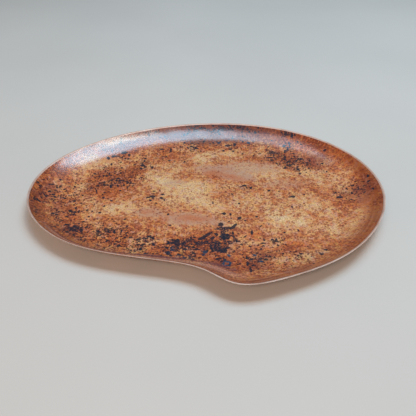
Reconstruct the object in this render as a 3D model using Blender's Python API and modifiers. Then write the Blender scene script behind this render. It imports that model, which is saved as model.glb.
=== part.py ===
"""Kidney-shaped serving tray, raised from one piece of copper sheet.

Metres, +Z up. The tray stands on Z = 0, centred on the origin, with its long side along X
and the notch in its outline facing -Y. It is one piece of metal: a flat floor, and a wall that
curves up all round to a rim trimmed level and left square, with only its corners eased.
"""

import bmesh
import bpy
from mathutils import Vector

MM = 0.001

# Driving dimensions
SHEET = 0.9 * MM            # thickness of the copper sheet
RIM_HEIGHT = 17 * MM        # level top of the rim above the surface the tray stands on
WALL_POWER = 2.6            # how much the wall steepens: its height goes with this power of the way up it
EDGE_ROUND = 0.2 * MM       # easing of the two corners of the trimmed rim

# The tray from above, in millimetres, anticlockwise. Each row is a control point of the closed
# curve that the rim's outer edge follows, and how far in from it the wall meets the floor.
RIM_POINTS = (
    (-135, -88, 36),        # front left
    (-82, -105, 32),
    (-37, -112, 33),        # the shallow hollow before the notch
    (0, -120, 40),          # notch
    (23, -146, 56),         # lobe
    (69, -132, 56),
    (136, -102, 52),        # front right
    (191, -17, 49),         # right end
    (168, 77, 46),
    (86, 136, 54),
    (-14, 144, 56),         # back
    (-108, 114, 55),
    (-180, 47, 52),         # left end
    (-184, -33, 44),
)

# Resolution
SPAN_STEPS = 8              # straight steps between two control points
WALL_RINGS = 11             # rings of faces up the wall
TRIM_ALLOWANCE = 0.05       # how far the wall runs on past the rim before it is trimmed, of its width
EDGE_SEGMENTS = 2
SHARP_ANGLE = 0.5           # radians; only the rim's two corners turn by more than this

# Trimming block
BLOCK_SIZE = 440 * MM
BLOCK_HEIGHT = 20 * MM

COPPER_COLOUR = (0.55, 0.23, 0.11, 1.0)


def clear_scene():
    for item in list(bpy.data.objects):
        bpy.data.objects.remove(item, do_unlink=True)


def new_collection(name):
    collection = bpy.data.collections.new(name)
    bpy.context.scene.collection.children.link(collection)
    return collection


def copper():
    material = bpy.data.materials.new("copper")
    material.use_nodes = True
    shader = material.node_tree.nodes["Principled BSDF"]
    shader.inputs["Base Color"].default_value = COPPER_COLOUR
    shader.inputs["Metallic"].default_value = 1.0
    shader.inputs["Roughness"].default_value = 0.4
    return material


def closed_curve(controls):
    """Points along the closed uniform cubic B-spline that the control points shape."""
    count = len(controls)
    points = []
    for span in range(count):
        a, b, c, d = (controls[(span + k) % count] for k in (-1, 0, 1, 2))
        for step in range(SPAN_STEPS):
            u = step / SPAN_STEPS
            v = 1.0 - u
            weight_b = 3 * u**3 - 6 * u**2 + 4
            weight_c = 3 * v**3 - 6 * v**2 + 4
            points.append((a * v**3 + b * weight_b + c * weight_c + d * u**3) / 6)
    return points


def floor_controls(rim):
    """The rim's control points, each moved in by its wall width, square to its neighbours."""
    count = len(rim)
    inner = []
    for index, (x, y, width) in enumerate(RIM_POINTS):
        along = rim[(index + 1) % count] - rim[index - 1]
        inward = Vector((-along.y, along.x)).normalized()
        inner.append(rim[index] + inward * width * MM)
    return inner


def centre_of(points):
    xs = [point.x for point in points]
    ys = [point.y for point in points]
    return Vector(((min(xs) + max(xs)) / 2, (min(ys) + max(ys)) / 2))


def underside():
    """The tray's lower surface: the wall's rings from above the rim down to a flat floor."""
    rim_controls = [Vector((x, y)) * MM for x, y, width in RIM_POINTS]
    rim = closed_curve(rim_controls)
    floor = closed_curve(floor_controls(rim_controls))
    centre = centre_of(rim)
    mesh = bmesh.new()
    rings = []
    for ring in range(WALL_RINGS + 1):
        down = -TRIM_ALLOWANCE + (1 + TRIM_ALLOWANCE) * ring / WALL_RINGS
        height = RIM_HEIGHT * (1 - down) ** WALL_POWER
        points = [outer.lerp(inner, down) - centre for outer, inner in zip(rim, floor)]
        rings.append([mesh.verts.new((point.x, point.y, height)) for point in points])
    for upper, lower in zip(rings, rings[1:]):
        for index in range(len(upper)):
            after = (index + 1) % len(upper)
            mesh.faces.new((lower[index], lower[after], upper[after], upper[index]))
    mesh.faces.new(rings[-1])
    bmesh.ops.recalc_face_normals(mesh, faces=mesh.faces)
    return mesh


def trimming_block(collection):
    """A block whose lower face is the plane that the rim is trimmed to."""
    bpy.ops.mesh.primitive_cube_add(size=1, location=(0, 0, RIM_HEIGHT + BLOCK_HEIGHT / 2))
    block = bpy.context.object
    block.name = "rim_trim"
    block.scale = (BLOCK_SIZE, BLOCK_SIZE, BLOCK_HEIGHT)
    bpy.ops.object.transform_apply(location=False, rotation=False, scale=True)
    for owner in list(block.users_collection):
        owner.objects.unlink(block)
    collection.objects.link(block)
    block.hide_render = True
    block.display_type = "WIRE"
    return block


def copper_tray(collection, block):
    surface = underside()
    data = bpy.data.meshes.new("copper_tray")
    surface.to_mesh(data)
    surface.free()
    data.materials.append(copper())
    data.shade_smooth()
    tray = bpy.data.objects.new("copper_tray", data)
    collection.objects.link(tray)

    sheet = tray.modifiers.new("sheet", "SOLIDIFY")
    sheet.thickness = SHEET
    sheet.offset = -1.0
    sheet.use_even_offset = True

    trim = tray.modifiers.new("level_rim", "BOOLEAN")
    trim.operation = "DIFFERENCE"
    trim.object = block

    edge = tray.modifiers.new("eased_rim", "BEVEL")
    edge.width = EDGE_ROUND
    edge.segments = EDGE_SEGMENTS
    edge.limit_method = "ANGLE"
    edge.angle_limit = SHARP_ANGLE
    return tray


def main():
    clear_scene()
    parts = new_collection("kidney_tray")
    cutters = new_collection("cutters")
    copper_tray(parts, trimming_block(cutters))


main()
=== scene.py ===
"""Looks of the kidney-shaped copper tray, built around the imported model. Metres, +Z up.

The tray is rebuilt as one finer closed mesh with three materials: the flame-coloured patina under
clear lacquer, the bare cut edge of the sheet, and the browned underside.
"""

import math
from types import SimpleNamespace

import bpy
import numpy as np
from mathutils import Matrix, Vector

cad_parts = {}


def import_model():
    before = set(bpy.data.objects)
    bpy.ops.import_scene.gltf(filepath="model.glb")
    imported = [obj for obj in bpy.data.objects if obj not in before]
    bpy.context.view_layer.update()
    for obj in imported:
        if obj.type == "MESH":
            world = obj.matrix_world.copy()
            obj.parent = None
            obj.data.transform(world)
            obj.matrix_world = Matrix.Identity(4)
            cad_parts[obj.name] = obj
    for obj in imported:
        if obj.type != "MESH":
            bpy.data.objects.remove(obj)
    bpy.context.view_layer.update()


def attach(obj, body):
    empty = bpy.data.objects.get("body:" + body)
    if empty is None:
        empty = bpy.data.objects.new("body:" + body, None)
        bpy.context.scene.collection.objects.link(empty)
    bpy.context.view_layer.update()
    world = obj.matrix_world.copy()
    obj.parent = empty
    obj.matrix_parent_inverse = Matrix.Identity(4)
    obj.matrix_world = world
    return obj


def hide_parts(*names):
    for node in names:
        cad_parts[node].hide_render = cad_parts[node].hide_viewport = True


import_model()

MM = 0.001

# The tray's design, as in the CAD model
SHEET = 0.9 * MM            # thickness of the copper sheet
RIM_HEIGHT = 17 * MM
WALL_POWER = 2.6            # the wall's height goes with this power of the way up it
RIM_POINTS = (              # control points of the rim's outer edge, and the wall's width there
    (-135, -88, 36),
    (-82, -105, 32),
    (-37, -112, 33),
    (0, -120, 40),
    (23, -146, 56),
    (69, -132, 56),
    (136, -102, 52),
    (191, -17, 49),
    (168, 77, 46),
    (86, 136, 54),
    (-14, 144, 56),
    (-108, 114, 55),
    (-180, 47, 52),
    (-184, -33, 44),
)

# Mesh resolution
SPAN_STEPS = 24             # straight steps between two control points
FLOOR_RINGS = 28            # steps from the middle of the floor to its edge
WALL_RINGS = 22             # steps from there up to the rim
LAND_RINGS = 3              # rings across the level top of the rim
EASE_STEPS = 4              # rings round each of its two corners

# Easing of the rim's corners
INNER_EASE = 0.15 * MM      # how far in over the level top the inner corner's easing reaches
OUTER_EASE = 0.3 * MM
WALL_EASE = 0.02            # how far down the wall both reach, as a share of its width

# Material slots of the mesh
PATINA, CUT_EDGE, UNDERSIDE = range(3)


# ---------------------------------------------------------------- shape

def closed_curve(controls):
    """Points along the closed uniform cubic B-spline that the control points shape."""
    u = np.linspace(0, 1, SPAN_STEPS, endpoint=False)[:, None]
    v = 1 - u
    weights = (v**3, 3 * u**3 - 6 * u**2 + 4, 3 * v**3 - 6 * v**2 + 4, u**3)
    spans = []
    for start in range(len(controls)):
        corners = np.roll(controls, 1 - start, axis=0)[:4]
        spans.append(sum(w * corner for w, corner in zip(weights, corners)) / 6)
    return np.concatenate(spans)


def inward(controls):
    """Unit directions into the tray at each control point, square to its neighbours."""
    along = np.roll(controls, -1, axis=0) - np.roll(controls, 1, axis=0)
    across = np.column_stack((-along[:, 1], along[:, 0]))
    return across / np.linalg.norm(across, axis=1)[:, None]


def outlines():
    """The rim's outer edge, its inner edge and the floor's edge, seen from above."""
    table = np.array(RIM_POINTS) * MM
    rim, width = table[:, :2], table[:, 2:]
    slope = WALL_POWER * RIM_HEIGHT / width
    land = SHEET * np.sqrt(1 + 1 / slope**2)
    outer = closed_curve(rim)
    inner = closed_curve(rim + inward(rim) * land)
    floor = closed_curve(rim + inward(rim) * width)
    centre = (outer.min(axis=0) + outer.max(axis=0)) / 2
    return outer - centre, inner - centre, floor - centre


def ring(plan, height):
    return np.column_stack((plan, np.full(len(plan), height)))


def wall_rings(edge, floor, base):
    """The wall's rings from just under the rim down to the floor, whose surface is at base."""
    rings = []
    for down in np.linspace(WALL_EASE, 1, WALL_RINGS + 1):
        height = base + (RIM_HEIGHT - base) * (1 - down) ** WALL_POWER
        rings.append(ring(edge + (floor - edge) * down, height))
    return rings


def eased(start, corner, end):
    """Rings that round a corner, between a ring on each of its two sides."""
    steps = np.linspace(0, 1, EASE_STEPS + 1)
    return [start * (1 - t) ** 2 + corner * 2 * t * (1 - t) + end * t**2 for t in steps]


def rim_rings(inner, outer, inside_top, outside_top):
    """The rim, from the wall's inner face over its level top to the outer face."""
    land = outer - inner
    across = land / np.linalg.norm(land, axis=1)[:, None]
    land_inner = ring(inner + across * INNER_EASE, RIM_HEIGHT)
    land_outer = ring(outer - across * OUTER_EASE, RIM_HEIGHT)
    shares = np.arange(1, LAND_RINGS) / LAND_RINGS
    level = [land_inner + (land_outer - land_inner) * share for share in shares]
    inner_corner = eased(inside_top, ring(inner, RIM_HEIGHT), land_inner)
    outer_corner = eased(land_outer, ring(outer, RIM_HEIGHT), outside_top)
    return inner_corner[1:] + level + outer_corner


def tray_rings():
    """The tray's surface, ring by ring from the middle of the floor over the rim to the underside."""
    outer, inner, floor = outlines()
    middle = floor.mean(axis=0)
    shares = np.arange(1, FLOOR_RINGS) / FLOOR_RINGS
    flat = [middle + (floor - middle) * share for share in shares]
    wall_inside = wall_rings(inner, floor, SHEET)
    wall_outside = wall_rings(outer, floor, 0)
    inside = [ring(plan, SHEET) for plan in flat] + wall_inside[::-1]
    rim = rim_rings(inner, outer, wall_inside[0], wall_outside[0])
    outside = wall_outside[1:] + [ring(plan, 0) for plan in flat[::-1]]
    return inside, rim, outside, middle


def build_tray(materials):
    inside, rim, outside, middle = tray_rings()
    rings = inside + rim + outside
    bands = [PATINA] * (len(inside) - 1) + [CUT_EDGE] * len(rim) + [UNDERSIDE] * len(outside)
    count = len(rings[0])
    vertices = np.concatenate(rings + [np.array([[*middle, SHEET], [*middle, 0]])])
    top, bottom = len(vertices) - 2, len(vertices) - 1
    around = [(index, (index + 1) % count) for index in range(count)]
    last = (len(rings) - 1) * count

    faces = [(top, index, after) for index, after in around]
    slots = [PATINA] * count
    for level, band in enumerate(bands):
        low, high = level * count, (level + 1) * count
        faces += [(low + index, high + index, high + after, low + after) for index, after in around]
        slots += [band] * count
    faces += [(last + after, last + index, bottom) for index, after in around]
    slots += [UNDERSIDE] * count

    mesh = bpy.data.meshes.new("tray")
    mesh.from_pydata(vertices.tolist(), [], faces)
    mesh.polygons.foreach_set("material_index", slots)
    for material in materials:
        mesh.materials.append(material)
    mesh.shade_smooth()
    tray = bpy.data.objects.new("tray", mesh)
    bpy.context.scene.collection.objects.link(tray)
    return tray


# ---------------------------------------------------------------- shader nodes

LIGHT_LEVEL = (0.98, 1.1, 1.18)     # what a white surface lying flat on the floor reflects
COAT_SHINE = 0.0125                 # what the lacquer adds by reflecting the dim room
DARKEST = 0.002                     # no paint is darker, before the light level is taken out

CONE_REACH = 1.5            # the cone under a blob or mark ends at this many times its half size
MARK_EDGE = (0.2, 0.38)     # heights on that cone where a mark starts and where it is solid
DOT_GROWTH = 1.4            # how fast a dot's radius grows with density


def paint(colour):
    """The surface colour that shows as this 8-bit sRGB colour in the studio's light."""
    values = np.array(colour) / 255
    low, high = values / 12.92, ((values + 0.055) / 1.055) ** 2.4
    linear = np.where(values <= 0.04045, low, high)
    return (*(np.maximum(linear - COAT_SHINE, DARKEST) / LIGHT_LEVEL), 1.0)


class Graph:
    """Shorthand for adding and joining the shader nodes of one material.

    Places are in metres, and scales in cells per metre. A map is a value that varies over the
    surface, mostly from 0 to 1.
    """

    def __init__(self, name):
        self.material = bpy.data.materials.new(name)
        self.material.use_nodes = True
        self.tree = self.material.node_tree
        self.shader = self.tree.nodes["Principled BSDF"]
        self.place = self.node("ShaderNodeTexCoord").outputs["Object"]

    def node(self, kind, inputs=(), **settings):
        node = self.tree.nodes.new(kind)
        for name, value in settings.items():
            setattr(node, name, value)
        for name, value in dict(inputs).items():
            self.put(node.inputs[name], value)
        return node

    def put(self, socket, value):
        if isinstance(value, bpy.types.NodeSocket):
            self.tree.links.new(value, socket)
        else:
            socket.default_value = value

    def finish(self, **inputs):
        """Set the surface's inputs, written with _ for each space, and return the material."""
        for name, value in inputs.items():
            self.put(self.shader.inputs[name.replace("_", " ")], value)
        return self.material

    def math(self, operation, first, second=0.0):
        return self.node("ShaderNodeMath", {0: first, 1: second}, operation=operation).outputs[0]

    def add(self, *values):
        total = values[0]
        for value in values[1:]:
            total = self.math("ADD", total, value)
        return total

    def times(self, *values):
        product = values[0]
        for value in values[1:]:
            product = self.math("MULTIPLY", product, value)
        return product

    def most(self, first, second):
        return self.math("MAXIMUM", first, second)

    def least(self, first, second):
        return self.math("MINIMUM", first, second)

    def fade(self, value, start, end, low=0.0, high=1.0):
        """low where value is at start, high where it is at end, smooth between."""
        inputs = {"Value": value, "From Min": start, "From Max": end, "To Min": low, "To Max": high}
        node = self.node("ShaderNodeMapRange", inputs, interpolation_type="SMOOTHSTEP", clamp=False)
        return node.outputs[0]

    def noise(self, place, scale, detail=2.0, roughness=0.5, output="Fac"):
        inputs = {"Vector": place, "Scale": scale, "Detail": detail, "Roughness": roughness}
        return self.node("ShaderNodeTexNoise", inputs, noise_dimensions="2D").outputs[output]

    def swing(self, value, amount):
        """A noise value, which is about 0.5, turned into about -amount to amount."""
        return self.times(self.math("SUBTRACT", value, 0.5), 2 * amount)

    def stray(self, scale, amount, detail=3, roughness=0.6):
        """Noise over the tray, from about -amount to amount."""
        return self.swing(self.noise(self.place, scale, detail, roughness), amount)

    def vector(self, operation, inputs):
        return self.node("ShaderNodeVectorMath", inputs, operation=operation).outputs[0]

    def warped(self, place, scale, amount, detail=2.0):
        """place, pushed about by up to amount metres."""
        noise = self.noise(place, scale, detail, output="Color")
        push = self.vector("SUBTRACT", {0: noise, 1: (0.5, 0.5, 0.5)})
        push = self.vector("SCALE", {0: push, "Scale": 2 * amount})
        return self.vector("ADD", {0: place, 1: push})

    def dots(self, place, scale, density, edge, largest=0.5):
        """Spots, one to a cell: fewer and smaller as density goes from 1 down to 0."""
        cells = self.node("ShaderNodeTexVoronoi", {"Vector": place, "Scale": scale},
                          voronoi_dimensions="2D")
        chance = self.node("ShaderNodeSeparateXYZ", {0: cells.outputs["Color"]}).outputs["X"]
        radius = self.times(self.math("SUBTRACT", density, chance), DOT_GROWTH)
        radius = self.least(radius, largest)
        return self.fade(self.math("SUBTRACT", radius, cells.outputs["Distance"]), -edge, edge)

    def veins(self, place, scale, thin, wide):
        """0 along the lines between cells, rising to 1 over the cells themselves."""
        cells = self.node("ShaderNodeTexVoronoi", {"Vector": place, "Scale": scale},
                          voronoi_dimensions="2D", feature="DISTANCE_TO_EDGE")
        return self.fade(cells.outputs["Distance"], thin, wide)

    def cone(self, place, x, y, half_length, half_width, turn):
        """1 at the middle of an ellipse, falling evenly to 0 at its reach. In mm and degrees."""
        ball = self.node("ShaderNodeTexGradient", {"Vector": place}, gradient_type="SPHERICAL")
        ball.texture_mapping.vector_type = "TEXTURE"
        ball.texture_mapping.translation = (x * MM, y * MM, 0)
        ball.texture_mapping.rotation = (0, 0, math.radians(turn))
        reach = CONE_REACH * MM
        ball.texture_mapping.scale = (half_length * reach, half_width * reach, 1)
        return ball.outputs["Fac"]

    def blob(self, place, x, y, half_length, half_width, turn, strength, core=0.2):
        """strength within core of an ellipse's size, fading to nothing at the cone's reach."""
        cone = self.cone(place, x, y, half_length, half_width, turn)
        return self.fade(cone, 0, 1 - core / CONE_REACH, 0, strength)

    def blobs(self, place, rows, **shape):
        """The sum of a table of blobs, each added as soon as it is made."""
        total = self.blob(place, *rows[0], **shape)
        for row in rows[1:]:
            total = self.math("ADD", total, self.blob(place, *row, **shape))
        return total

    def patch(self, place, rows, **shape):
        """A table of blobs that join without adding up to more than 1."""
        return self.least(self.blobs(place, rows, **shape), 1.0)

    def spatter(self, place, rows, ragged):
        """Solid marks with soft edges, which join where they meet; ragged is a noise about 0."""
        total = ragged
        for x, y, half_length, half_width, turn in rows:
            total = self.math("ADD", total, self.cone(place, x, y, half_length, half_width, turn))
        return self.fade(total, *MARK_EDGE)

    def mix(self, factor, first, second):
        node = self.node("ShaderNodeMix", data_type="RGBA")
        self.put(node.inputs[0], factor)
        self.put(node.inputs[6], first)
        self.put(node.inputs[7], second)
        return node.outputs[2]

    def layer(self, under, colour, cover, strength=1.0):
        """colour laid over what is under it, as strongly as cover times strength says."""
        return self.mix(self.times(cover, strength), under, paint(colour))

    def ramp(self, value, stops):
        node = self.node("ShaderNodeValToRGB", {"Fac": value})
        elements = node.color_ramp.elements
        while len(elements) < len(stops):
            elements.new(0.5)
        for element, (position, colour) in zip(elements, stops):
            element.position = position
            element.color = colour
        return node.outputs["Color"]


# ---------------------------------------------------------------- where the patina's patches lie

# All given in millimetres on the tray. Each row is an ellipse: x, y, half length, half
# width, turn in degrees, strength.
PALE = (                   # worn pale
    (-63, 30, 26, 18, 20, 0.3),
    (-18, 19, 38, 18, 0, 0.3),
    (-6, -9, 34, 11, -30, 0.35),
    (80, -15, 42, 20, 0, 0.2),
    (72, -41, 26, 14, 0, 0.28),
    (122, -48, 26, 22, 0, 0.16),
    (40, 0, 20, 14, 0, 0.15),
    (-136, 59, 18, 24, -30, 0.32),
    (-40, 63, 24, 14, 0, 0.2),
    (8, 81, 26, 18, 0, 0.22),
    (70, 57, 30, 20, 0, 0.2),
    (-98, -20, 22, 12, 0, 0.28),
    (130, 37, 18, 22, 0, 0.15),
    (30, -44, 16, 11, 0, 0.35),
    (154, 44, 14, 12, 0, 0.22),
    (24, 90, 34, 8, 0, 0.15),
    (-108, 62, 24, 10, 30, 0.1),
    (52, -70, 20, 8, 0, 0.15),
)
RUSTY = (                  # left redder
    (-150, -13, 36, 46, 0, 0.08),
    (-120, -57, 46, 20, -10, 0.22),
    (-95, 37, 30, 26, 0, 0.28),
    (-8, -87, 60, 14, 0, 0.2),
    (2, -68, 32, 16, 10, 0.22),
    (162, 2, 18, 24, 0, 0.26),
    (-60, 92, 60, 14, 8, 0.14),
    (90, 85, 34, 16, 0, 0.12),
    (20, -103, 30, 12, 0, 0.2),
    (84, 69, 36, 16, -10, 0.12),
    (128, 66, 20, 12, -30, 0.15),
    (-105, 12, 26, 14, 0, 0.18),
)
SMOOTH = (                 # with few freckles
    (-57, -26, 13, 9, 0, 0.9),
    (-19, -36, 22, 9, -4, 1),
    (8, -40, 12, 5, -8, 0.8),
    (18, 49, 30, 10, -20, 1),
    (34, 40, 20, 8, -18, 0.8),
    (48, 59, 34, 13, 0, 0.8),
    (86, 25, 24, 8, 0, 0.6),
    (-35, 27, 12, 6, 0, 0.6),
)
FLUSHED = (                # orange middles of the smooth patches
    (-15, -36, 17, 5.5, -5, 0.95),
    (-58, -25, 7, 5, 0, 0.8),
    (8, 47, 12, 5.5, -18, 0.9),
    (28, 39, 15, 5, -18, 0.75),
)
SATIN = (                  # burnished stretches of the wall
    (170, 0, 14, 80, -8, 0.9),
    (150, -64, 34, 16, 52, 0.9),
    (95, -112, 60, 9, 22, 0.8),
    (35, -128, 26, 8, 0, 0.8),
    (166, 58, 14, 40, 25, 0.7),
    (-113, 77, 30, 7, 38, 0.7),
    (-60, 104, 36, 7, 18, 0.6),
    (0, 117, 36, 7, 2, 0.4),
)
CREASED = (                # stretches of the near wall with streaks, a band of painted reflection, and painted shade where it meets the floor
    (-120, -72, 36, 20, -22, 0.9),
    (-50, -93, 60, 20, -6, 0.9),
    (12, -112, 20, 18, -30, 0.6),
)
SPECKLED = (               # finely sooted
    (-148, -4, 42, 44, 0, 0.6),
    (-95, 42, 40, 30, 10, 0.6),
    (-110, -55, 50, 24, -10, 0.65),
    (-50, -77, 55, 22, 0, 0.6),
    (20, -87, 60, 24, 0, 0.45),
    (62, -61, 26, 20, 0, 0.25),
    (75, -95, 40, 18, 0, 0.3),
    (158, 7, 24, 40, 0, 0.4),
    (92, 72, 40, 22, 0, 0.35),
    (20, 103, 60, 18, 0, 0.4),
    (-60, 91, 55, 18, 10, 0.4),
    (108, 64, 38, 16, -24, 0.6),
    (40, 12, 40, 14, -10, 0.2),
    (100, -3, 40, 24, 0, 0.15),
)
BURNT_AND_SHADED = (                  # scorched along the back of the rim; also painted shade, darkening the far wall that is turned away from the light
    (-108, 100, 54, 15, 27, 0.7),
    (-10, 134, 70, 9, 0, 1),
    (-10, 118, 70, 9, 2, 1),
    (70, 126, 50, 8, -14, 0.9),
    (70, 110, 40, 8, -12, 0.4),
    (130, 98, 30, 8, -38, 0.25),
)
DARK = (                   # where soot gathers
    (16, -54, 13, 9, 0, 0.55),
    (10, -76, 15, 10, 0, 0.5),
    (-18, -72, 20, 8, -5, 0.5),
    (-28, -84, 10, 8, 0, 0.45),
    (-14, -90, 10, 6, 0, 0.45),
    (24, -68, 8, 8, 0, 0.5),
    (-56, -70, 9, 9, 0, 0.5),
    (14, -98, 12, 7, 0, 0.35),
    (46, -92, 9, 8, 0, 0.4),
    (64, -68, 10, 8, 0, 0.3),
    (82, -90, 8, 4, 20, 0.4),
    (104, -88, 6, 6, 0, 0.4),
    (-53, 2, 11, 10, 0, 0.3),
    (42, 19, 9, 5, -15, 0.4),
    (84, 90, 17, 7, 0, 0.6),
    (98, 98, 6, 8, 0, 0.5),
    (28, 104, 11, 8, 20, 0.5),
    (-15, 105, 10, 7, -15, 0.5),
    (-50, 97, 12, 5, 0, 0.3),
    (-104, 80, 14, 6, 25, 0.35),
    (-74, 66, 7, 14, 0, 0.4),
    (-100, 26, 20, 10, 20, 0.45),
    (-112, 42, 12, 4, 0, 0.2),
    (-160, 10, 12, 10, 20, 0.15),
    (-144, -4, 26, 8, -10, 0.2),
    (-134, -23, 8, 6, 0, 0.35),
    (-127, -51, 10, 7, 0, 0.7),
    (-92, -55, 16, 4, 0, 0.5),
    (100, 72, 20, 12, -20, 0.35),
    (160, 10, 14, 14, 0, 0.4),
    (-12, 132, 10, 3, 4, 0.8),
    (24, 134, 26, 3, 0, 0.9),
    (48, 130, 10, 4, -10, 0.8),
    (101, 114, 7, 4, -30, 0.7),
)
BLUED = (                  # where the marks turn blue
    (45, -93, 9, 8, 0, 1),
    (18, -100, 6, 5, 0, 1),
    (20, -89, 3, 3, 0, 1),
    (-31, -83, 4, 6, 0, 0.5),
    (-1, -86, 4, 4, 0, 0.7),
    (-20, -92, 8, 5, 0, 0.5),
    (98, 100, 8, 8, 0, 0.7),
    (52, 111, 6, 4, 0, 0.7),
    (14, 112, 8, 3, 0, 0.6),
)
PURPLE = (                 # plum-coloured bruises
    (52, -90, 8, 7, 0, 0.6),
    (45, -102, 10, 8, 0, 0.55),
    (12, -98, 12, 8, 0, 0.5),
    (-8, -86, 12, 6, 0, 0.3),
    (10, -46, 6, 4, 0, 0.4),
    (76, -112, 14, 5, 20, 0.45),
    (72, -82, 12, 4, 0, 0.3),
    (160, 8, 14, 14, 0, 0.5),
    (160, -9, 8, 5, 0, 0.4),
    (128, 72, 20, 14, -30, 0.6),
    (98, 82, 14, 7, 0, 0.35),
    (76, 81, 8, 3, 0, 0.4),
    (-120, 48, 10, 8, 0, 0.35),
    (-165, 14, 8, 6, 0, 0.45),
    (-160, -8, 16, 8, -20, 0.35),
    (-126, 14, 5, 8, 0, 0.4),
    (-128, -54, 18, 8, 0, 0.35),
    (-150, -20, 8, 5, 0, 0.3),
)

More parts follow.
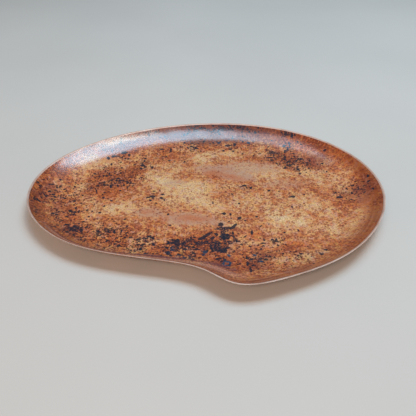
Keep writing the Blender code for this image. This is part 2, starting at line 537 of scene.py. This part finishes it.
# The larger dark marks one by one, with the same columns but no strength
SPOTS = (
    # the cluster above the notch
    (14, -45, 2.5, 3, 0), (18, -51, 9, 2.2, 5), (27, -47, 1.6, 4, -35), (16, -56, 3, 1.8, 35),
    (17.5, -63, 4.8, 4, 0), (9.5, -60, 1.5, 2.5, 0), (6, -65, 1.6, 2.4, -20), (-3, -64.5, 5, 2, 45),
    (2, -59.5, 2, 2.5, -30), (26, -65, 1.2, 2.2, 0), (25, -58, 0.9, 2.5, 0),
    (27.5, -69, 1.5, 1.5, 0), (-16, -68, 5, 1.6, 15), (-27, -69.5, 3, 1.8, 0),
    (-26.5, -74, 2.2, 3, 0), (-21, -73, 2.5, 2.5, 0), (-32, -72, 3, 1.2, 0),
    (-6.5, -73, 3.4, 2.6, 0), (-1, -71.5, 3, 2.2, 0), (4, -75, 1.5, 4, 0), (10, -74, 3.5, 5, 0),
    (15, -82.5, 3.8, 3, 0), (10, -81.5, 2, 2.5, 0), (6, -81, 2, 3, 0), (19.5, -78.5, 2, 1.2, 20),
    (-1, -84, 2, 2.2, 0), (-2.5, -88, 1.6, 1.2, 0), (-9, -80.7, 4, 0.8, -3),
    (-19.5, -80.5, 2.2, 1.6, 0), (-30.5, -80, 2.5, 3.2, 20), (-34, -86, 2, 3, 10),
    (-36, -78.5, 1.8, 1.2, 0), (-24, -88.5, 2, 1.4, 0), (-20, -92.5, 1.2, 1.6, 0),
    (-14.5, -90, 1.4, 2, 0), (-35, -71, 0.9, 2.2, 0), (9.5, -93.5, 1.8, 1.4, 20),
    (16.5, -94.5, 1.3, 1.6, 0), (20, -88.5, 1.6, 1.3, 0),
    # the small ring below it
    (15, -100, 0.9, 2.4, 0), (21, -99, 0.9, 2.2, 0), (18, -97.2, 2.6, 0.9, 0),
    (18, -102.6, 2.6, 0.9, 0),
    # scattered to its right
    (43, -57, 1.1, 3.6, -5), (36, -63, 1.5, 0.9, 20), (52, -72.3, 2.5, 1, 0),
    (53.6, -67.7, 1.1, 1.5, 0), (49.5, -80, 1.1, 1, 0), (61.4, -67.3, 1.2, 1.1, 0),
    (65, -66.4, 1, 1, 0), (73.6, -57.2, 1, 1, 0), (87.3, -53.6, 1.2, 1.4, 0),
    (106.4, -85, 1.5, 1.8, 0), (101.5, -91.5, 1.8, 1.8, 0), (84, -88.2, 1.1, 1.7, -20),
    (81, -90.7, 1.7, 0.9, 30), (90.7, -107.7, 1.1, 1.3, 0), (40, -76.7, 1.3, 1, 0),
    (29, -99.5, 0.9, 1.2, 0), (36, -100.5, 1, 1.3, 0), (38, -109, 1.2, 3, 0),
    (52.7, -47.3, 0.8, 1.4, -30), (32.5, -35.2, 1.8, 2.8, -30), (24.5, -36, 0.9, 1, 0),
    (38, -39, 1.3, 1.1, 0), (22, -40.3, 1, 1, 0), (49.5, -33, 1.4, 1.4, 0), (43, -88.5, 2, 1.2, -30),
    (48.2, -96.8, 1.5, 1.2, 0),
    # between the cluster and the middle
    (17.5, -28, 2, 2, 0), (24, -29, 1.1, 2, -15), (33.5, -11, 1.1, 1.3, 0),
    (28.5, -5.5, 0.9, 0.9, 0), (20.5, 10.5, 1.1, 0.9, 0), (27, 5.7, 1.1, 0.9, 0),
    (6.5, -10, 0.9, 1.3, 0),
    # right of the middle
    (41, 21.5, 2.5, 1.7, 15), (36.5, 20, 1.8, 0.8, 0), (43, 18, 1, 1.8, 0), (47.5, 17, 1.4, 1.6, 0),
    # left of the middle
    (-56.5, 1.5, 3, 2.2, 0), (-61.5, -0.5, 1.8, 1.2, 0), (-58, -5.5, 1.6, 1.6, 0),
    (-56, 11, 1.8, 0.8, 0), (-46.5, 5, 2.2, 1.3, 0), (-47, -1.5, 1.8, 1.8, 0),
    (-44, -4.5, 0.8, 2, 20), (-50, 13, 0.8, 2, 20), (-51.5, -10.5, 1.3, 0.8, 0),
    (-38, -29, 1.1, 1.6, 0),
    # on the way to the right end
    (66.5, 12.3, 1.7, 1.9, 0), (77, 10.7, 1, 1, 0), (90.7, 1.3, 2.4, 2.1, 0), (87, 0.3, 1.3, 0.9, 0),
    (103, 5, 1.1, 1, 0), (87, -16.7, 1, 1.2, 0), (139, 0, 3.4, 1.9, 10), (137, 8.3, 1, 1.3, 0),
    # back right
    (105.3, 46, 1.3, 2, 0), (104.5, 54.5, 1.8, 1, 0), (90, 58, 1.6, 2.6, -30),
    (117, 56.5, 1, 2, -30), (133.5, 63.8, 1.5, 1.5, 0), (139, 81.5, 1.5, 1.3, 0),
    # right end
    (157, 17.5, 1.8, 1.2, 30), (149.5, 14.5, 1.2, 1.6, 0), (172.5, 22.3, 1.2, 1.8, 0),
    (171, 14.6, 1.5, 1.3, 0), (166, 11.5, 1.1, 1.3, -40), (153, 6, 1, 1.5, 0),
    (155.5, 2.5, 1.2, 0.8, 0), (164, 1, 1.2, 1, 0), (172, 0.5, 1.1, 1.7, 0),
    (150, -5.7, 1.1, 1.2, 0),
    # the cluster at the back right
    (82, 90, 6.5, 2.8, -10), (78, 93, 3, 1.6, 0), (75, 81, 4.5, 1.3, 5), (95.5, 93, 2.4, 1.8, 15),
    (98, 96, 1.3, 3, 0), (75.5, 102.3, 1.3, 1.3, 0), (73, 98.5, 1.3, 1.1, 0),
    (52, 111, 2.4, 1.6, -20), (97.5, 116, 1.8, 2.6, 0), (104.5, 112.5, 1.6, 3, 0),
    (104, 81.7, 1.6, 1.2, 0), (92.5, 76.5, 1.1, 1, 0), (111, 76.5, 1, 1.6, 0),
    (112.5, 68.5, 1.2, 0.9, 0), (82, 67, 1, 2, 0), (56, 85, 0.9, 2, -10), (110.5, 103, 1.1, 1, 0),
    (114, 98.5, 1, 1, 0), (100.5, 103, 1.1, 2.8, 0), (94, 101, 1.8, 2.2, 0),
    # back middle
    (26, 107, 3.4, 2, 0), (34.5, 108.5, 1.8, 3.2, -20), (29, 100.5, 2.6, 1.3, 25),
    (20.3, 96.5, 1.4, 2.2, -25), (15, 112, 1.5, 1.8, 0), (43, 89.5, 1, 1.6, 0),
    (-16, 103.7, 4.2, 1.7, -20), (-12, 101, 2.2, 1.2, 0), (-18.5, 110.5, 2.6, 0.8, 0),
    (-11, 111, 1.6, 0.9, 0),
    # back left
    (-55, 97.5, 2.6, 1.3, 10), (-43.5, 95, 1.4, 3, 0), (-26, 71.5, 1.1, 2.2, -20),
    (-37.5, 73, 1, 1.2, 0), (-44, 73.7, 1.6, 1.4, 0), (-62.5, 59, 1.6, 2.4, 0),
    # further left at the back
    (-115, 73, 1.9, 2.4, 0), (-110.5, 76.5, 1.8, 1.3, 0), (-106, 78.6, 4.2, 1.1, 8),
    (-98, 85.5, 4, 1.8, 25), (-92, 83, 1.5, 1.6, 0), (-110, 63.7, 1.2, 2.2, 0),
    (-97.5, 57.7, 1.5, 1.5, 0), (-72.5, 78.5, 1.5, 1.5, 0), (-73, 73, 1.4, 1.6, 0),
    (-74, 63.5, 1.9, 2.8, 0), (-75, 56.5, 1.6, 2.6, 20), (-60.5, 79.7, 1.2, 1.1, 0),
    # the cluster on the left
    (-125.5, 44.5, 1.4, 1.5, 0), (-115, 41, 1.2, 1.2, 0), (-109.5, 46.3, 1, 1.9, 0),
    (-97, 47, 1.3, 1.6, 0), (-98, 35.5, 2.4, 1.5, 0), (-106, 31.5, 2.5, 1, 15),
    (-95, 31.5, 2, 1.4, 30), (-115.5, 26.5, 1.8, 1.1, 20), (-117.5, 21.8, 1.3, 1.7, 0),
    (-108, 23, 1.1, 1.5, 0), (-103.5, 20, 1.2, 4, 10), (-96, 21, 1, 3, 20),
    (-89.5, 22.5, 1.2, 1.7, 0), (-85, 19, 1.1, 1.4, 0), (-92, 12, 1.4, 1.3, 0),
    (-117.5, 12, 0.8, 6, 20), (-108, 8.5, 1.3, 0.9, 0), (-107.5, -1, 1.2, 1.4, 0),
    (-98.5, -6, 1.7, 1.3, 0), (-104, -15.5, 1.2, 1.6, 0), (-114.5, -24, 1.2, 1.2, 0),
    (-106.5, -26, 1.3, 1.3, 0), (-120, -22, 1.4, 1.4, 0), (-116, -33, 0.9, 1.5, -20),
    # towards the left end
    (-137, -23, 1.8, 1.8, 0), (-132, -25, 1.3, 1.3, 0), (-137.5, -33.3, 1.6, 1.2, 0),
    (-130, 3.5, 1.2, 1.5, 0), (-137, -6.5, 2.4, 1.5, -10), (-147.5, -2.5, 1.7, 1.3, -20),
    (-128.5, -11, 1.4, 1.1, 0),
    # left end
    (-173, 5, 1.6, 0.9, 20), (-166, -5, 3.5, 0.8, -45), (-157, -3, 1.5, 1.5, 0),
    (-169.5, -17, 1, 1.5, 0), (-164.5, 14.7, 2.6, 1, 30), (-158, 25.5, 1.3, 1.1, 0),
    (-142, 19, 1.3, 1.4, 0), (-167, 44, 1, 1.3, -30),
    # front left
    (-127, -52.5, 3.6, 3.6, 0), (-125.5, -47.5, 2.6, 1.2, 0), (-134, -46, 2, 1.2, -20),
    (-115, -49, 1.3, 1.3, 0), (-118.5, -54.5, 1.4, 2.3, 20), (-102, -56, 1.8, 1.1, 0),
    (-94, -54.5, 2.6, 1.1, -15), (-87, -56.5, 1.3, 2.8, 20), (-80.5, -55, 1.1, 2.8, 0),
    (-58, -65.7, 1.8, 1.5, 0), (-54, -63, 1.6, 0.9, 0), (-49.5, -65.7, 1.4, 1.2, 0),
    (-57.5, -73.5, 1.3, 1.3, 0), (-48.5, -73.7, 1.1, 1.7, 0), (-54.2, -87, 2, 1.1, 15),
    (-35, -46.5, 1.4, 0.9, 0),
)


# ---------------------------------------------------------------- patina

# Colours, in 8-bit sRGB
GROUND = (                  # from scorched to worn pale, each with its place on the warmth scale
    (0.0, (116, 54, 32)),
    (0.3, (192, 109, 64)),
    (0.55, (208, 149, 104)),
    (0.8, (215, 173, 128)),
    (1.0, (218, 192, 154)),
)
PINK_TAN = (196, 148, 134)
YELLOW_TAN = (216, 166, 98)
MAUVE = (182, 151, 135)
FLUSH = (189, 118, 85)
BURNISHED = (176, 108, 62)
BURNISHED_RIM = (124, 63, 29)
ORANGE = (188, 98, 52)
PALE_FLECK = (222, 164, 112)
RUST = (112, 50, 38)
PALE_RUST = (150, 84, 62)
SMOKE = (140, 70, 50)
# scorching, and also painted shade on the far wall that is turned away from the light
SCORCH_AND_SHADE = (108, 56, 42)
PLUM = (124, 66, 58)
FINE_SOOT = (58, 36, 44)
SOOT = (34, 39, 52)
BLUE_BLACK = (26, 38, 54)
STEEL_BLUE = (46, 78, 108)
PALE_LINE = (206, 150, 132)
DARK_LINE = (96, 50, 56)
# painted reflection on the near wall, seen at a grazing angle
PAINTED_REFLECTION_PINK = (204, 150, 136)
# painted shade low on the near wall, where it meets the floor
PAINTED_FOOT_SHADE = (78, 44, 66)

UPPER_WALL = (3 * MM, 13 * MM)      # heights between which the wall turns redder


def patina_zones(g):
    """Maps of what lies where on the tray, and the warped places that give them their edges."""
    soft = g.warped(g.place, scale=25, amount=9 * MM, detail=3)
    gentle = g.warped(g.place, scale=60, amount=4 * MM, detail=3)
    ragged = g.warped(soft, scale=140, amount=3 * MM, detail=3)
    axes = g.node("ShaderNodeSeparateXYZ", {0: g.place}).outputs
    zones = SimpleNamespace(soft=soft, x=axes["X"], y=axes["Y"], z=axes["Z"])
    zones.torn = g.warped(g.place, scale=500, amount=1.5 * MM)
    zones.upper_wall = g.fade(zones.z, *UPPER_WALL)
    zones.smooth = g.patch(gentle, SMOOTH, core=0.6)
    zones.flushed = g.patch(gentle, FLUSHED)
    zones.satin = g.patch(soft, SATIN)
    zones.bare = g.most(zones.smooth, zones.satin)
    zones.freckled = g.math("SUBTRACT", 1.0, g.times(zones.bare, 0.62))
    zones.burnt = g.patch(soft, BURNT_AND_SHADED)
    zones.creased = g.patch(g.place, CREASED)
    zones.dark = g.blobs(ragged, DARK, core=0.1)
    zones.speckled = g.blobs(soft, SPECKLED)
    rusty = g.times(g.blobs(soft, RUSTY), -0.9)
    clouds = g.stray(scale=35, amount=0.5)
    high = g.times(zones.upper_wall, -0.35)
    zones.warmth = g.add(0.52, g.blobs(soft, PALE), rusty, clouds, high)
    return zones


def ground_colour(g, zones):
    """Copper to tan, tinted pink and yellow, with the smooth, flushed and burnished patches."""
    colour = g.ramp(zones.warmth, [(position, paint(stop)) for position, stop in GROUND])
    tint = g.noise(zones.soft, scale=200, detail=3, roughness=0.6)
    colour = g.layer(colour, PINK_TAN, g.fade(tint, 0.51, 0.64), 0.6)
    colour = g.layer(colour, YELLOW_TAN, g.fade(tint, 0.48, 0.34), 0.5)
    colour = g.layer(colour, MAUVE, zones.smooth, 0.68)
    burnish = g.mix(zones.upper_wall, paint(BURNISHED), paint(BURNISHED_RIM))
    colour = g.mix(g.times(zones.satin, 0.6), colour, burnish)
    return g.layer(colour, FLUSH, zones.flushed, 0.8)


def add_freckles(g, zones, colour):
    """Orange wash, pale flecks and rust-brown freckles, thickest where the ground is dark."""
    wash = g.noise(zones.soft, scale=150, detail=4, roughness=0.65)
    washed = g.fade(g.add(wash, g.times(zones.warmth, -0.3)), 0.27, 0.42)
    colour = g.layer(colour, ORANGE, g.times(washed, zones.freckled), 0.6)
    patchy = g.stray(scale=75, amount=0.75)
    density = g.times(g.add(0.3, patchy), zones.freckled)
    flecks = g.dots(zones.torn, scale=420, density=density, edge=0.2, largest=0.35)
    colour = g.layer(colour, PALE_FLECK, flecks, 0.4)
    density = g.times(g.add(1.15, g.times(zones.warmth, -1.05), patchy), zones.freckled)
    large = g.dots(zones.torn, scale=300, density=density, edge=0.1, largest=0.42)
    small = g.dots(zones.torn, scale=460, density=density, edge=0.12, largest=0.4)
    rust = g.mix(zones.warmth, paint(RUST), paint(PALE_RUST))
    return g.mix(g.times(g.most(large, small), 0.76), colour, rust)


def add_heat_stains_and_shade(g, zones, colour):
    """Soft brown and plum stains round the soot, and scorching along the back of the rim that is also
    painted shade, darkening the far wall turned away from the light.
    """
    smoked = g.times(g.fade(zones.dark, 0.1, 1.0), 0.5)
    colour = g.layer(colour, SMOKE, smoked, 0.26)
    # painted shade: the far wall, turned away from the light, is darkened together with the scorching
    colour = g.layer(colour, SCORCH_AND_SHADE, zones.burnt, 0.75)
    return g.layer(colour, PLUM, g.blobs(zones.soft, PURPLE))


def add_soot(g, zones, colour):
    """Fine dots, dots and marks of near-black, veined with copper where they are densest.

    Returns the colour, and the map of the dots.
    """
    density = g.add(0.02, g.times(zones.dark, 0.95), g.stray(90, 0.36, detail=2, roughness=0.5),
                    g.times(zones.speckled, 0.42), g.times(zones.bare, -0.35),
                    g.times(zones.burnt, 0.3))
    veins = g.veins(zones.torn, scale=380, thin=0.02, wide=0.13)
    veined = g.most(veins, g.fade(zones.dark, 0.6, 0.3))
    largest = g.fade(zones.dark, 0.7, 1.3, 0.44, 0.62)
    soot = g.dots(zones.torn, scale=250, density=density, edge=0.06, largest=largest)
    soot = g.times(soot, veined)
    fine_density = g.add(density, g.times(zones.speckled, 0.45))
    fine = g.dots(zones.torn, scale=400, density=fine_density, edge=0.1, largest=0.42)
    colour = g.layer(colour, FINE_SOOT, fine, 0.85)
    colour = g.layer(colour, SOOT, soot, 0.9)
    frayed = g.warped(g.place, scale=420, amount=0.9 * MM)
    marks = g.spatter(frayed, SPOTS, ragged=g.stray(420, 0.18, detail=2))
    bluish = g.times(g.patch(g.place, BLUED), 0.8)
    mark_colour = g.mix(bluish, paint(BLUE_BLACK), paint(STEEL_BLUE))
    return g.mix(g.times(marks, veined, 0.93), colour, mark_colour), soot


def add_wall_streaks_and_painted_light(g, zones, colour):
    """Streaks along the wall, and on the near side painted light: a pink band of painted reflection
    over a purple line of painted shade where the wall meets the floor.
    """
    near = g.fade(zones.y, -30 * MM, -70 * MM)
    start = g.fade(zones.x, -50 * MM, -130 * MM, SHEET, 6 * MM)
    rise = g.math("SUBTRACT", zones.z, start)
    wall = g.times(g.fade(rise, 0.9 * MM, 2 * MM), g.most(zones.creased, zones.satin))
    along = g.node("ShaderNodeCombineXYZ", {"X": g.times(zones.z, 60), "Y": zones.x}).outputs[0]
    streaks = g.swing(g.noise(along, scale=9, detail=3, roughness=0.6), 0.8)
    streaks = g.add(streaks, g.times(zones.creased, 0.15))
    streaks = g.times(streaks, wall, g.add(0.3, g.times(near, 0.9)))
    colour = g.layer(colour, PALE_LINE, g.most(streaks, 0.0))
    colour = g.layer(colour, DARK_LINE, g.most(g.times(streaks, -1.8), 0.0))
    # painted reflection: a pink band high on the near wall, where it is seen at a grazing angle
    reflection_band = g.times(g.fade(rise, 2.6 * MM, 3.6 * MM), g.fade(rise, 9 * MM, 4 * MM))
    colour = g.layer(colour, PAINTED_REFLECTION_PINK, g.times(reflection_band, near, zones.creased), 0.55)
    # painted shade: a purple line low on the near wall, just above where it meets the floor
    foot_shade = g.times(g.fade(rise, 1.1 * MM, 1.8 * MM), g.fade(rise, 3 * MM, 2.3 * MM))
    return g.layer(colour, PAINTED_FOOT_SHADE, g.times(foot_shade, zones.creased), 0.75)


def patina():
    """Flame-coloured copper under clear lacquer: mottled copper and tan, spattered near-black, with
    painted shade on the far wall and painted reflection and shade low on the near wall.
    """
    g = Graph("patina")
    zones = patina_zones(g)
    colour = ground_colour(g, zones)
    colour = add_freckles(g, zones, colour)
    colour = add_heat_stains_and_shade(g, zones, colour)
    colour, soot = add_soot(g, zones, colour)
    colour = add_wall_streaks_and_painted_light(g, zones, colour)
    grain = g.stray(scale=600, amount=0.7, detail=2, roughness=0.5)
    brightness = g.add(1.0, g.times(grain, zones.freckled))
    waviness = g.noise(g.place, scale=45, detail=1)
    waves = g.node("ShaderNodeBump", {"Height": waviness, "Distance": 0.3 * MM})
    return g.finish(
        Base_Color=g.vector("SCALE", {0: colour, "Scale": brightness}),
        Metallic=0.0,
        Specular_IOR_Level=0.08,
        Roughness=g.add(0.5, g.times(soot, 0.1), g.times(zones.smooth, -0.06)),
        Coat_Weight=1.0,
        Coat_IOR=1.6,
        Coat_Roughness=0.2,
        Coat_Normal=waves.outputs[0],
    )


# ---------------------------------------------------------------- the other materials

def cut_edge():
    """The sheet's bare cut edge: bright copper, filed level."""
    g = Graph("cut_edge")
    file_marks = g.noise(g.place, scale=900, detail=3, roughness=0.6)
    tarnish = g.noise(g.place, scale=60, detail=3, roughness=0.6)
    colour = g.ramp(g.add(tarnish, g.swing(file_marks, 0.25)), (
        (0.25, (0.50, 0.28, 0.21, 1)),
        (0.5, (0.62, 0.38, 0.30, 1)),
        (0.75, (0.68, 0.45, 0.37, 1)),
    ))
    return g.finish(
        Base_Color=colour,
        Metallic=0.4,
        Roughness=g.fade(file_marks, 0.3, 0.7, 0.62, 0.5),
    )


def underside():
    """The back of the sheet, never coloured: browned copper with heat tints from the flame."""
    g = Graph("underside")
    soft = g.warped(g.place, scale=18, amount=14 * MM, detail=3)
    heat = g.noise(soft, scale=14, detail=4, roughness=0.55)
    colour = g.ramp(heat, (
        (0.3, (0.16, 0.062, 0.045, 1)),
        (0.45, (0.33, 0.13, 0.065, 1)),
        (0.58, (0.46, 0.21, 0.10, 1)),
        (0.72, (0.42, 0.22, 0.17, 1)),
    ))
    torn = g.warped(g.place, scale=500, amount=1.5 * MM)
    specks = g.dots(torn, scale=260, density=g.stray(40, 0.9), edge=0.15)
    return g.finish(
        Base_Color=g.mix(g.times(specks, 0.6), colour, (0.07, 0.035, 0.035, 1)),
        Metallic=0.85,
        Roughness=g.add(0.4, g.times(specks, 0.2), g.stray(90, 0.12)),
    )


def floor_paint():
    """Pale, matt and very faintly clouded."""
    g = Graph("floor")
    cloud = g.noise(g.place, scale=3, detail=3)
    colour = g.ramp(cloud, (
        (0.3, (0.575, 0.501, 0.463, 1)),
        (0.7, (0.605, 0.527, 0.487, 1)),
    ))
    return g.finish(Base_Color=colour, Roughness=0.7)


# ---------------------------------------------------------------- stage

FLOOR_SIZE = 6.0
TRAY_MIDDLE = (0, 0.1, 0)           # where the overhead softboxes point
SOFTBOXES = (                       # name, location, aim, size, turn in degrees, watts, colour
    ("overhead", (0.6, 0.48, 2.0), TRAY_MIDDLE, (1.2, 0.8), -4, 33, (0.46, 0.80, 1.03)),
    ("overhead_left", (-0.26, 0.52, 2.0), TRAY_MIDDLE, (0.52, 0.8), -4, 4.4, (0.5, 0.78, 1.0)),
    ("warm_strip", (0.6, 0.13, 2.0), TRAY_MIDDLE, (0.45, 0.22), -30, 5, (1.0, 0.86, 0.66)),
    ("fill", (-0.5, -1.9, 1.7), (0, 0, 0), (1.4, 0.9), 0, 38, (1.0, 0.82, 0.66)),
)
WORLD_COLOUR = (1.0, 0.95, 0.9)
WORLD_STRENGTH = 0.16

CAMERA_PLACE = (0.0016, -0.3824, RIM_HEIGHT + 0.258)
CAMERA_PITCH = 37                   # degrees that it looks down
FOCAL_LENGTH = 450 / 416            # as a share of the picture's width
SENSOR_WIDTH = 36                   # millimetres


def floor():
    bpy.ops.mesh.primitive_plane_add(size=FLOOR_SIZE)
    plane = bpy.context.object
    plane.name = "floor"
    plane.data.materials.append(floor_paint())


def softbox(name, location, aim, size, turn, energy, colour):
    data = bpy.data.lights.new(name, "AREA")
    data.shape = "RECTANGLE"
    data.size, data.size_y = size
    data.energy = energy
    data.color = colour
    light = bpy.data.objects.new(name, data)
    bpy.context.scene.collection.objects.link(light)
    back = (Vector(location) - Vector(aim)).normalized()
    side = Vector((0, 1, 0)).cross(back).normalized()
    facing = Matrix((side, back.cross(side), back)).transposed()
    light.location = location
    light.rotation_euler = (facing @ Matrix.Rotation(math.radians(turn), 3, "Z")).to_euler()


def world():
    world_data = bpy.data.worlds.new("studio")
    bpy.context.scene.world = world_data
    world_data.use_nodes = True
    background = world_data.node_tree.nodes["Background"]
    background.inputs["Color"].default_value = (*WORLD_COLOUR, 1)
    background.inputs["Strength"].default_value = WORLD_STRENGTH


def camera():
    data = bpy.data.cameras.new("camera")
    data.sensor_width = SENSOR_WIDTH
    data.lens = FOCAL_LENGTH * SENSOR_WIDTH
    view = bpy.data.objects.new("camera", data)
    bpy.context.scene.collection.objects.link(view)
    view.location = CAMERA_PLACE
    view.rotation_euler = (math.radians(90 - CAMERA_PITCH), 0, 0)
    bpy.context.scene.camera = view


tray = build_tray([patina(), cut_edge(), underside()])
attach(tray, "root")
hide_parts("copper_tray")

floor()
for box in SOFTBOXES:
    softbox(*box)
world()
camera()
bpy.context.scene.view_settings.view_transform = "Standard"
